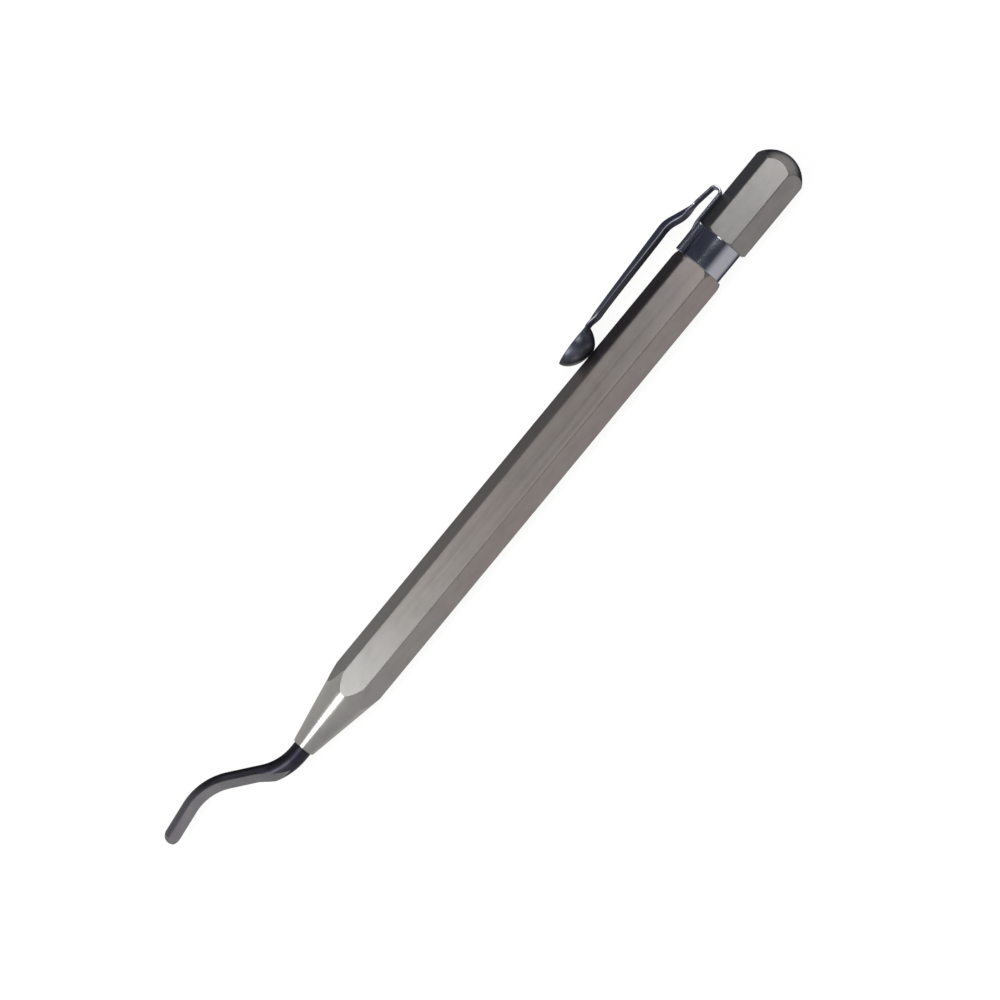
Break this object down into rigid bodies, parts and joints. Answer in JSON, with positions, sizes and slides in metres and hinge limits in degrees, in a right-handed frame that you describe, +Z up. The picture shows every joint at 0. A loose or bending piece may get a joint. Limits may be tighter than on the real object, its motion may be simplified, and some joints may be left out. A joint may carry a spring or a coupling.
{
  "type": "swivel deburring tool",
  "caption": "Pen-style hand scraper: hexagonal aluminium handle with a pocket clip and an S-shaped steel blade that spins freely in its nose.",
  "frame": {"origin": "on the flat that the handle rests on, under the long axis, halfway along the barrel", "axes": "+X along the handle from the blade to the domed end, +Y towards the pocket clip and the blade's offset, +Z up away from the surface"},
  "size_m": [0.1467, 0.0138, 0.0079],
  "materials": {
    "handle_aluminium": "satin drawn bar, faintly brushed lengthwise, clear anodised",
    "plated_steel": "polished nickel plate on spring steel",
    "tool_steel": "blue-black hardened high-speed steel, ground bright along the cutting flats",
    "bronze": "turned, slightly dull",
    "spring_steel": "drawn spring wire",
    "bearing_steel": "polished hardened steel"
  },
  "bodies": {
    "handle": {"barrel": "handle_aluminium", "end_plug": "handle_aluminium", "clip_band": "plated_steel", "bearing_sleeve": "bronze", "retaining_ring": "spring_steel", "thrust_ball": "bearing_steel", "thrust_plug": "bronze"},
    "clip": {"clip_arm": "plated_steel"},
    "swivel_blade": {"blade": "tool_steel"}
  },
  "joints": [
    {"name": "blade_swivel", "type": "hinge", "parent": "handle", "child": "swivel_blade", "pos_m": [-0.04, 0, 0.00397], "axis": [1, 0, 0], "continuous": true},
    {"name": "clip_flex", "type": "hinge", "parent": "handle", "child": "clip", "pos_m": [0.0599, 0.00561, 0.00397], "axis": [0, 0, -1], "range_deg": [0, 5], "stiffness_Nm_per_rad": 0.5}
  ]
}
